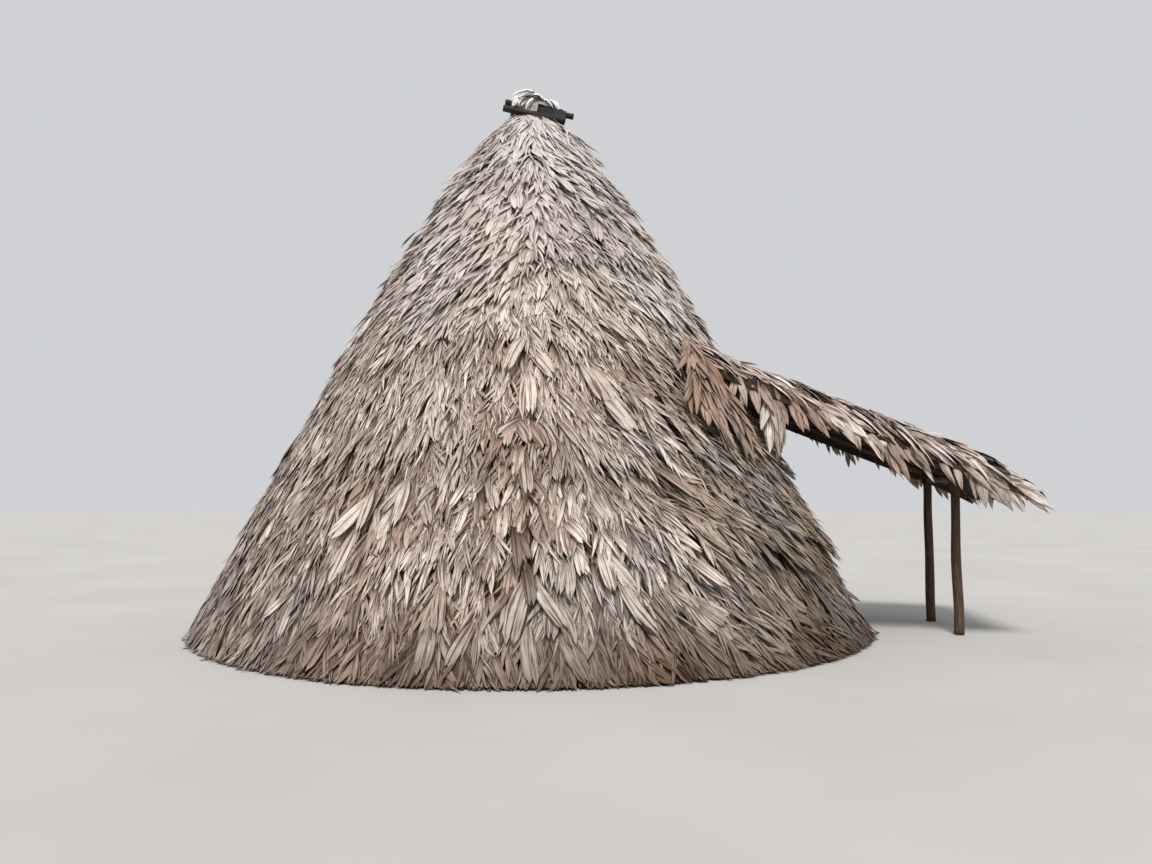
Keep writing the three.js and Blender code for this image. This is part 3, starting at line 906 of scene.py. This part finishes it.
def build_awning_leaves():
    rng = seeded("awning")
    low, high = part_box("awning_thatch")
    point, normal = awning_leaf_places(rng, low, high)
    count = len(point)
    edge = smooth(np.abs(point[:, 1]), 0.35, 1.05)
    eave = smooth(point[:, 0], high[0] - 0.9, high[0] - 0.2)
    by_cone = 1 - smooth(point[:, 0], AXIS_X + 2.6, AXIS_X + 3.0)
    fan_out = (0.10 + 0.52 * edge * (1 - 0.55 * eave) * (1 - 0.8 * by_cone)) * np.sign(point[:, 1])
    fan_out = fan_out + rng.normal(0, 0.11, count)
    heading = columns_of(np.cos(fan_out), np.sin(fan_out), 0.0)
    rib = unit(heading - normal * np.sum(heading * normal, axis=1, keepdims=True))
    size = AWNING_LEAF_LENGTH * rng.uniform(0.8, 1.2, count)
    tone = 0.74 + field(point, 1.5, 2.0) * 0.20 + rng.normal(0, 0.24, count)
    warmth = 0.04 + 0.06 * edge + np.maximum(field(point, 1.6, 8.0), 0) * 0.45
    look = (tone, warmth, 0.05, 0.0)
    root = point + normal * 0.008 - rib * (size * ROOT_SHARE)[:, None]
    droop = 0.03 + 0.22 * edge
    leaves = Leaflets(rng)
    add_palm_leaves(leaves, rng, root, rib, normal, size, look, 0.07, (0.45, 0.47), 0.48, droop)
    leaves.piece("awning_leaves", AWNING_LEAF, "awning_thatch")


# Where long leaves hang from the awning's edges: how far out they start, how far their tips drop, how
# far they swing outwards and how far they open. Those at the far edge are smaller.
HANGING = (
    (2.84, 0.66, -0.04, 0.50),
    (2.88, 0.78, 0.06, 0.62),
    (3.04, 0.46, 0.34, 0.45),
    (3.18, 0.36, 0.62, 0.45),
    (3.34, 0.30, 0.80, 0.55),
    (3.52, 0.30, 0.90, 0.70),
    (3.68, 0.36, 0.66, 0.85),
    (3.86, 0.44, 0.55, 0.85),
    (4.04, 0.58, 0.34, 0.80),
    (4.20, 0.38, 0.55, 0.70),
    (4.40, 0.32, 0.62, 0.85),
    (4.60, 0.26, 0.85, 0.85),
    (4.78, 0.40, 0.66, 0.85),
    (4.95, 0.50, 0.56, 0.75),
    (5.08, 0.40, 0.62, 0.85),
    (5.22, 0.42, 0.62, 0.80),
    (5.34, 0.28, 0.85, 0.70),
    (2.70, 0.26, 0.25, 0.45),
    (2.58, 0.22, 0.10, 0.45),
    (2.46, 0.20, 0.00, 0.45),
)
FAR_EDGE_SIZE = 0.6
HANGING_INSET = 0.07


def build_hanging_leaves():
    rng = seeded("hanging")
    tree = surface_of("awning_thatch")
    leaves = Leaflets(rng)
    for hand in (-1, 1):
        for out, drop, swing, opening in HANGING:
            x = AXIS_X + out + rng.normal(0, 0.03) * (hand > 0)
            y = hand * (AWNING_HALF - HANGING_INSET + EDGE_SPREAD * max(PARALLEL_OUT - out, 0))
            hit, _ = drop_onto(tree, x, y)
            root = np.array([hit.x, hit.y, hit.z - 0.02])
            rib = unit(np.array([math.sin(swing), hand * 0.20, -math.cos(swing)]))
            up = np.array([0.10, hand, 0.15])
            up = unit(up - rib * np.dot(up, rib))
            size = 1 if hand < 0 else FAR_EDGE_SIZE
            look = (rng.normal(0.64, 0.18), rng.uniform(0.0, 0.30), 0.15, 0.0)
            add_long_leaf(leaves, rng, root, rib, up, size * drop / -rib[2], look, opening, size)
    leaves.piece("awning_hanging_leaves", AWNING_LEAF, "awning_thatch")


# Long brown leaves that lie on the cone beside the awning: azimuth in degrees, height, length and lean.
BESIDE_AWNING = (
    (-36.0, 3.22, 1.15, -0.52),
    (-35.5, 3.20, 1.35, -0.36),
    (-34.8, 3.16, 1.40, -0.22),
    (-34.0, 3.05, 1.35, -0.05),
    (-33.0, 2.95, 1.25, 0.08),
)
BESIDE_LIFT = 0.13


def build_leaves_beside_awning():
    rng = seeded("beside")
    leaves = Leaflets(rng)
    for hand in (-1, 1):
        for degrees, height, length, lean in BESIDE_AWNING:
            azimuth = np.array([math.radians(degrees) * -hand])
            point, down, out, side = (v[0] for v in slope_frame(azimuth, np.array([height])))
            rib = leaning(down, side, -hand * lean)
            look = (rng.normal(0.50, 0.12), rng.uniform(0.35, 0.75), 0.20, 0.0)
            add_long_leaf(leaves, rng, point + out * BESIDE_LIFT, rib, out, length, look, 0.85)
    leaves.piece("leaves_beside_awning", AWNING_LEAF, "awning_thatch")


# The leaves of the crown

# Clumps of leaf strips on the cap: strips, where their roots lie along the crown and across it, the
# height at its middle, the heading from the crown's own x, in degrees, how steeply they fall, and the
# length of the shortest and longest.
CAP_CLUMPS = (
    (50, (-0.20, -0.02), (-0.16, -0.06), 0.34, -135, 0.7, (0.18, 0.28)),
    (90, (-0.06, 0.08), (-0.22, 0.24), 0.37, 180, 0.0, (0.24, 0.34)),
    (60, (0.00, 0.14), (-0.16, 0.24), 0.35, -8, 0.25, (0.18, 0.28)),
    (40, (-0.20, 0.25), (0.06, 0.20), 0.34, 90, 0.6, (0.25, 0.38)),
)
SKIRT_STRIPS = 420
SKIRT_DEPTH = 0.10


def build_crown_cap():
    rng = seeded("cap")
    along, across, up, seat = crown_axes()
    leaves = Leaflets(rng)
    for count, (left, right), (near, far), top, degrees, fall, (short, long) in CAP_CLUMPS:
        x = rng.uniform(left, right, count)
        y = rng.uniform(near, far, count)
        z = top - 0.9 * y**2 + rng.uniform(-0.05, 0.0, count)
        root = seat + along * x[:, None] + across * y[:, None] + up * z[:, None]
        turn = math.radians(degrees) + y * 2.2 * math.cos(math.radians(degrees))
        turn = turn + rng.normal(0, 0.18, count)
        heading = along * np.cos(turn)[:, None] + across * np.sin(turn)[:, None]
        heading = unit(heading - up * fall)
        face = unit(up + across * (4.0 * y)[:, None])
        length = rng.uniform(short, long, count)
        droop = 0.60 - 0.40 * fall
        shape = varied(
            rng, count, (0.08, 0.04), (0.12, 0.02), (droop, 0.08), (0.2, 0.2), (0, 0.08), (0, 0.3)
        )
        look = (rng.normal(0.95, 0.15, count), rng.uniform(0, 0.05, count), 0.55, 0.0)
        width = rng.uniform(0.045, 0.080, count)
        leaves.add(root, heading, face, length, width, shape, look)
    leaves.piece("crown_leaves", CAP_LEAF, "thatch")


def build_crown_skirt():
    """Short leaf strips that come out from under the crown, all round the top of the cone."""
    rng = seeded("skirt")
    count = SKIRT_STRIPS
    azimuth = rng.uniform(0, 2 * math.pi, count)
    height = np.full(count, SHELL_HEIGHT - 0.05)
    for _ in range(3):
        point, _, _, _ = slope_frame(azimuth, height)
        height = np.minimum(crown_seat(point) - 0.01, SHELL_HEIGHT + 0.05)
    height = height - rng.uniform(0, SKIRT_DEPTH, count) ** 2 / SKIRT_DEPTH
    point, down, out, side = slope_frame(azimuth, height)
    along = leaning(down, side, rng.normal(0, 0.22, count))
    shape = varied(rng, count, (0.16, 0.06), (0.05, 0.03), (0.06, 0.06), (0.4, 0.2), (0, 0.06), (0, 0.4))
    look = (rng.normal(0.80, 0.14, count), rng.uniform(0, 0.10, count), 0.55, 0.0)
    length, width = rng.uniform(0.18, 0.34, count), rng.uniform(0.03, 0.055, count)
    leaves = Leaflets(rng)
    leaves.add(point - out * 0.01, along, out, length, width, shape, look)
    leaves.piece("crown_skirt_leaves", THATCH, "thatch")


# Poles, hoops and logs

def skinned_mesh(name, verts, faces, skin):
    """A mesh with the skin coordinates that the pole materials read."""
    mesh = bpy.data.meshes.new(name)
    mesh.from_pydata([tuple(v) for v in verts], [], faces)
    layer = mesh.uv_layers.new(name="skin")
    corners = np.empty(len(mesh.loops), dtype=np.int32)
    mesh.loops.foreach_get("vertex_index", corners)
    fill(layer.data, "uv", np.array(skin)[corners])
    return mesh


def tube(path, radius, sides, lumps, seed, closed=False):
    """Vertices, faces and skin coordinates of a tube along a path, with an uneven, ridged skin."""
    path = np.asarray(path, dtype=float)
    count = len(path)
    ahead = np.roll(path, -1, 0) - np.roll(path, 1, 0)
    if not closed:
        ahead[0], ahead[-1] = path[1] - path[0], path[-1] - path[-2]
    ahead = unit(ahead)
    across = np.empty_like(ahead)
    guide = np.array([0.0, 0.0, 1.0]) if abs(ahead[0][2]) < 0.9 else np.array([1.0, 0.0, 0.0])
    across[0] = unit(np.cross(ahead[0], guide))
    for i in range(1, count):
        across[i] = unit(across[i - 1] - ahead[i] * np.dot(across[i - 1], ahead[i]))
    other = np.cross(ahead, across)
    radius = np.broadcast_to(radius, count)
    run = np.concatenate([[0], np.cumsum(np.linalg.norm(np.diff(path, axis=0), axis=1))])
    verts, skin = [], []
    for i in range(count):
        for j in range(sides):
            turn = 2 * math.pi * j / sides
            c, s = math.cos(turn), math.sin(turn)
            bump = noise.noise(Vector((c * 1.2 + seed, s * 1.2, run[i] * 2.5)))
            ridge = noise.noise(Vector((c * 3.0, s * 3.0 + seed, run[i] * 0.8)))
            r = radius[i] * (1 + lumps * bump + lumps * 0.6 * ridge)
            verts.append(path[i] + across[i] * (r * c) + other[i] * (r * s))
            skin.append((turn * radius[i] + seed, run[i] + seed * 3.7))
    faces = []
    for i in range(count if closed else count - 1):
        for j in range(sides):
            k = (j + 1) % sides
            a, b = i * sides, ((i + 1) % count) * sides
            faces.append((a + j, a + k, b + k, b + j))
    if not closed:
        faces.append(tuple(reversed(range(sides))))
        faces.append(tuple(range((count - 1) * sides, count * sides)))
    return verts, faces, skin


class Tubes:
    """Several tubes as one mesh."""

    def __init__(self):
        self.verts, self.faces, self.skin = [], [], []

    def add(self, *args, **settings):
        verts, faces, skin = tube(*args, **settings)
        start = len(self.verts)
        self.verts += verts
        self.skin += skin
        self.faces += [tuple(i + start for i in face) for face in faces]

    def piece(self, name, material, slot, replaced=()):
        verts = np.array(self.verts)
        verts[:, 2] = np.maximum(verts[:, 2], 0.0)
        mesh = skinned_mesh(name, verts, self.faces, self.skin)
        round_faces = np.array([len(face) == 4 for face in self.faces])
        mesh.polygons.foreach_set("use_smooth", round_faces)
        make_piece(name, mesh, material, replaced)


def replace_pole(node, material, slot, path, radius, **settings):
    """Puts one uneven tube in the place of a plain pole."""
    tubes = Tubes()
    tubes.add(path, radius, **settings)
    tubes.piece(f"{node}_wood", material, slot, [node])


def bent_line(a, b, sag, seed, step=0.12):
    """Points from a to b that wander a little from the straight line, but not at the ends."""
    a, b = np.asarray(a), np.asarray(b)
    count = max(int(np.linalg.norm(b - a) / step), 3)
    share = np.linspace(0, 1, count + 1)[:, None]
    wander = np.array([
        [noise.noise(Vector((s * 2.3 + seed, k * 7.7, seed))) for k in range(3)] for s in share[:, 0]
    ])
    return a + (b - a) * share + wander * sag * 4 * share * (1 - share)


def build_poles():
    straight = ("rafter", "awning_pole", "awning_batten", "awning_beam")
    nodes = sorted(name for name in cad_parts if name.startswith(straight))
    for number, node in enumerate(nodes):
        a, b, radius = pole_ends(node)
        seed = number * 3.1
        path = bent_line(a, b, radius * 0.35, seed)
        taper = radius * np.linspace(1.0, 0.86, len(path))
        replace_pole(node, POLE, "poles", path, taper, sides=14, lumps=0.07, seed=seed)


def build_posts():
    for number, node in enumerate(("awning_post_left", "awning_post_right")):
        low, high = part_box(node)
        middle = (low + high) / 2
        radius = (high[1] - low[1]) / 2
        foot, head = (middle[0], middle[1], 0), (middle[0], middle[1], high[2])
        seed = number * 5.3 + 1
        path = bent_line(foot, head, 0.02, seed, step=0.06)
        taper = radius * np.linspace(1.0, 0.88, len(path))
        replace_pole(node, POLE, "poles", path, taper, sides=20, lumps=0.08, seed=seed)


def build_hoops():
    steps = 96
    turn = np.linspace(0, 2 * math.pi, steps, endpoint=False)
    for number, node in enumerate(HOOPS):
        points = node_points(node)
        reach = np.hypot(points[:, 0] - AXIS_X, points[:, 1])
        low, high = points[:, 2].min(), points[:, 2].max()
        ring = (reach.max() + reach.min()) / 2
        path = columns_of(AXIS_X + ring * np.cos(turn), ring * np.sin(turn), (high + low) / 2)
        radius = (high - low) / 2 * 0.97
        settings = {"sides": 10, "lumps": 0.07, "seed": number * 2.9, "closed": True}
        replace_pole(node, POLE, "poles", path, radius, **settings)


def build_crown_logs():
    nodes = sorted(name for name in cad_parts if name.startswith("crown_log"))
    for number, node in enumerate(nodes):
        a, b, radius = pole_ends(node)
        seed = number * 4.1
        path = bent_line(a, b, radius * 0.15, seed, step=0.03)
        wear = np.array([noise.noise(Vector((i * 0.35, number * 3.3, 0))) for i in range(len(path))])
        worn = radius * (0.96 + 0.10 * wear)
        replace_pole(node, CROWN_LOG, "crown_logs", path, worn, sides=20, lumps=0.16, seed=seed)


def build_crown_board():
    """The dark board: a slab with worn, uneven edges in the place of the plain one."""
    along, across, up, seat = crown_axes()
    offsets = node_points("crown_board") - seat
    local = np.stack([offsets @ axis for axis in (along, across, up)], axis=1)
    low, high = local.min(0), local.max(0)
    columns, rows = 18, 9
    verts, skin = [], []
    for face in (0, 1):
        for a in np.arange(columns + 1) / columns:
            for b in np.arange(rows + 1) / rows:
                rough = noise.noise(Vector((a * 5, b * 3, face * 9.0)))
                notch = 1 - 0.16 * max(noise.noise(Vector((a * 6, 4.4, 0))), 0) * (b > 0.5)
                x = low[0] + (high[0] - low[0]) * (0.5 + (a - 0.5) * (1 - 0.04 * abs(rough)))
                z = low[2] + (high[2] - low[2]) * b * notch
                y = (low[1], high[1])[face] + (0.5 - face) * 0.012 * (0.5 + rough)
                verts.append(seat + along * x + across * y + up * z)
                skin.append((b * 0.25, a * 0.4))
    front = np.arange(len(verts) // 2).reshape(columns + 1, rows + 1)
    back = front + front.size
    faces = []
    for i in range(columns):
        for j in range(rows):
            faces.append([front[i, j], front[i + 1, j], front[i + 1, j + 1], front[i, j + 1]])
            faces.append([back[i, j], back[i, j + 1], back[i + 1, j + 1], back[i + 1, j]])
    rim = np.concatenate([front[:-1, 0], front[-1, :-1], front[:0:-1, -1], front[0, :0:-1]])
    for a, b in zip(rim, np.roll(rim, -1)):
        faces.append([b, a, front.size + a, front.size + b])
    mesh = skinned_mesh("crown_board_wood", verts, np.array(faces).tolist(), skin)
    make_piece("crown_board_wood", mesh, CROWN_LOG, ["crown_board"])


# Laths and leaf ends on the inner face

LATHS_FROM, LATHS_TO, LATH_STEP = 0.30, 5.9, 0.30
LATH_RADIUS = 0.010
LATH_END_SHARE = 0.03
INNER_LEAVES_FROM, INNER_LEAVES_TO, INNER_COURSE_STEP = 0.45, 5.9, 0.24
INNER_LEAF_STEP = 0.16
CORNER_PAST_RAFTER = 0.050
rafter_foot, rafter_head, _ = pole_ends("rafter_01")


def inner_corner(height):
    """Distance from the axis to the corners between the thatch's inner faces."""
    foot_out = math.hypot(rafter_foot[0] - AXIS_X, rafter_foot[1])
    head_out = math.hypot(rafter_head[0] - AXIS_X, rafter_head[1])
    share = (height - rafter_foot[2]) / (rafter_head[2] - rafter_foot[2])
    return foot_out + (head_out - foot_out) * share + CORNER_PAST_RAFTER


def build_laths():
    tubes = Tubes()
    for number, height in enumerate(np.arange(LATHS_FROM, LATHS_TO, LATH_STEP)):
        reach = inner_corner(height) - 2 * LATH_RADIUS
        at_door = height < DOOR_HEAD + 0.05
        for side in range(SIDES):
            turn = side * 2 * HALF_SIDE
            ends = [
                np.array([AXIS_X + reach * math.cos(t), reach * math.sin(t), height])
                for t in (turn - HALF_SIDE, turn + HALF_SIDE)
            ]
            spans = [(LATH_END_SHARE, 1 - LATH_END_SHARE)]
            if side == 0 and at_door:
                free = 0.5 - DOOR_HALF / (ends[1][1] - ends[0][1]) - 0.01
                spans = [(LATH_END_SHARE, free), (1 - free, 1 - LATH_END_SHARE)]
            for start, stop in spans:
                a, b = (ends[0] + (ends[1] - ends[0]) * s for s in (start, stop))
                path = bent_line(a, b, 0.008, number + side * 1.7, step=0.25)
                tubes.add(path, LATH_RADIUS, sides=6, lumps=0.10, seed=number * 1.3 + side)
    tubes.piece("inner_laths", LATH, "thatch")


def inner_leaf_places(rng):
    """Points on the thatch's inner faces with their normals and the directions down them."""
    azimuths, heights = [], []
    for height in np.arange(INNER_LEAVES_FROM, INNER_LEAVES_TO, INNER_COURSE_STEP):
        count = int(2 * math.pi * inner_corner(height) / INNER_LEAF_STEP)
        azimuths.append((np.arange(count) + rng.normal(0, 0.3, count)) / count * 2 * math.pi)
        heights.append(height + rng.normal(0, 0.04, count))
    azimuth, height = np.concatenate(azimuths), np.concatenate(heights)
    middle = np.round(azimuth / (2 * HALF_SIDE)) * 2 * HALF_SIDE
    reach = inner_corner(height) * math.cos(HALF_SIDE) / np.cos(azimuth - middle)
    lean = (inner_corner(0) - inner_corner(1)) * math.cos(HALF_SIDE)
    normal = unit(columns_of(-np.cos(middle), -np.sin(middle), -lean))
    down = unit(columns_of(lean * np.cos(middle), lean * np.sin(middle), -1.0))
    point = columns_of(AXIS_X + reach * np.cos(azimuth), reach * np.sin(azimuth), height)
    by_door = (np.abs(point[:, 1]) < DOOR_HALF + 0.15) & (height < DOOR_HEAD + 0.35)
    keep = ~(by_door & (point[:, 0] > AXIS_X))
    return point[keep], normal[keep], down[keep]


def build_inner_leaves():
    rng = seeded("inner")
    point, normal, down = inner_leaf_places(rng)
    count = len(point)
    shape = varied(rng, count, (0.02, 0.02), 0.0, 0.0, (0.3, 0.3), (0, 0.08), (0, 0.4))
    look = (rng.normal(0.30, 0.12, count), rng.uniform(0.2, 0.6, count), 0.3, 0.0)
    along = turned(down, normal, rng.normal(0, 0.25, count))
    length, width = rng.uniform(0.22, 0.38, count), rng.uniform(0.03, 0.06, count)
    leaves = Leaflets(rng)
    leaves.add(point + normal * 0.003, along, normal, length, width, shape, look)
    leaves.piece("inner_leaves", AWNING_LEAF, "thatch")


# Lashings

VINE_RADIUS = 0.006
VINE_TURNS = 3
VINE_HALF_SPREAD = 0.022
# Half the thickness that the lashings at the posts' heads go round.
POST_HEAD_REACH = 0.030


def lash(tubes, centre, first, second, reach_first, reach_second, seed):
    """Turns of vine round two crossing poles, on both diagonals. first and second run along the poles."""
    normal = unit(np.cross(first, second))
    steps = 12 * VINE_TURNS
    turn = np.linspace(0, 2 * math.pi * VINE_TURNS, steps + 1)
    spread = np.linspace(-VINE_HALF_SPREAD, VINE_HALF_SPREAD, steps + 1)
    wide = max(reach_first, reach_second) * 1.45
    tall = reach_first + reach_second + VINE_RADIUS
    for diagonal in (unit(first + second), unit(first - second)):
        path = centre + np.outer(np.cos(turn) * tall, normal) + np.outer(np.sin(turn) * wide, diagonal)
        path = path + np.outer(spread, np.cross(diagonal, normal))
        tubes.add(path, VINE_RADIUS, sides=5, lumps=0.15, seed=seed)


def build_frame_lashings():
    tubes = Tubes()
    for side in range(SIDES):
        foot, head, radius = pole_ends(f"rafter_{side + 1:02d}")
        rafter = unit(head - foot)
        for number, node in enumerate(HOOPS):
            low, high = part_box(node)
            height, thick = (low[2] + high[2]) / 2, (high[2] - low[2]) / 2
            on_rafter = foot + (head - foot) * (height - foot[2]) / (head[2] - foot[2])
            outward = unit(np.array([on_rafter[0] - AXIS_X, on_rafter[1], 0.0]))
            along_hoop = np.array([-outward[1], outward[0], 0.0])
            inward = np.cross(rafter, along_hoop)
            inward = inward * -math.copysign(1, float(np.dot(inward, outward)))
            lash(tubes, on_rafter + inward * thick, rafter, along_hoop, radius, thick, side + number * 0.3)
    tubes.piece("frame_lashings", VINE, "poles")


def build_awning_lashings():
    tubes = Tubes()
    sideways, upright = np.array([0.0, 1.0, 0.0]), np.array([0.0, 0.0, 1.0])
    beam_a, beam_b, beam_radius = pole_ends("awning_beam")
    beam_height = (beam_a[2] + beam_b[2]) / 2
    for number, hand in enumerate(("left", "right")):
        low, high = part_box(f"awning_post_{hand}")
        post = (low + high) / 2
        seed = number * 7.0
        head = np.array([post[0], post[1], beam_height - 0.01])
        lash(tubes, head, upright, sideways, POST_HEAD_REACH, POST_HEAD_REACH, seed)
        outer, inner, radius = pole_ends(f"awning_pole_{hand}")
        fall = unit(outer - inner)
        crossings = [(post[0], beam_height, beam_radius)]
        for batten in ("upper", "middle", "lower"):
            end, _, thin = pole_ends(f"awning_batten_{batten}")
            crossings.append((end[0], end[2], thin))
        for x, height, thick in crossings:
            on_pole = inner + (outer - inner) * (x - inner[0]) / (outer[0] - inner[0])
            centre = (on_pole + np.array([x, on_pole[1], height])) / 2
            lash(tubes, centre, fall, sideways, radius, thick, seed + x)
    tubes.piece("awning_lashings", VINE, "poles")


# Floor and light

FLOOR_SIZE = 160
SKY_COLOUR = (0.95, 0.97, 1.0)
SKY_STRENGTH = 0.66
KEY_ENERGY = 3.15
KEY_WIDTH = math.radians(16)
KEY_COLOUR = (1.0, 0.97, 0.93)
KEY_TILT = math.radians(34)


def make_floor():
    bpy.ops.mesh.primitive_plane_add(size=FLOOR_SIZE, location=(0, 0, 0))
    floor = bpy.context.object
    floor.name = "floor"
    floor.data.materials.append(floor_material())


def make_light():
    bpy.context.scene.view_settings.view_transform = "Standard"
    world = bpy.data.worlds.new("soft_sky")
    bpy.context.scene.world = world
    world.use_nodes = True
    sky = world.node_tree.nodes["Background"]
    sky.inputs[0].default_value = (*SKY_COLOUR, 1)
    sky.inputs[1].default_value = SKY_STRENGTH
    key = bpy.data.lights.new("key_light", "SUN")
    key.energy = KEY_ENERGY
    key.angle = KEY_WIDTH
    key.color = KEY_COLOUR
    key_object = bpy.data.objects.new("key_light", key)
    key_object.rotation_euler = (KEY_TILT, 0, 0)
    bpy.context.collection.objects.link(key_object)


make_camera()
make_floor()
make_light()
dress_solids()
build_cone_leaves()
build_large_leaves()
build_awning_leaves()
build_hanging_leaves()
build_leaves_beside_awning()
build_poles()
build_posts()
build_hoops()
build_crown_logs()
build_crown_board()
build_crown_cap()
build_crown_skirt()
build_laths()
build_inner_leaves()
build_frame_lashings()
build_awning_lashings()
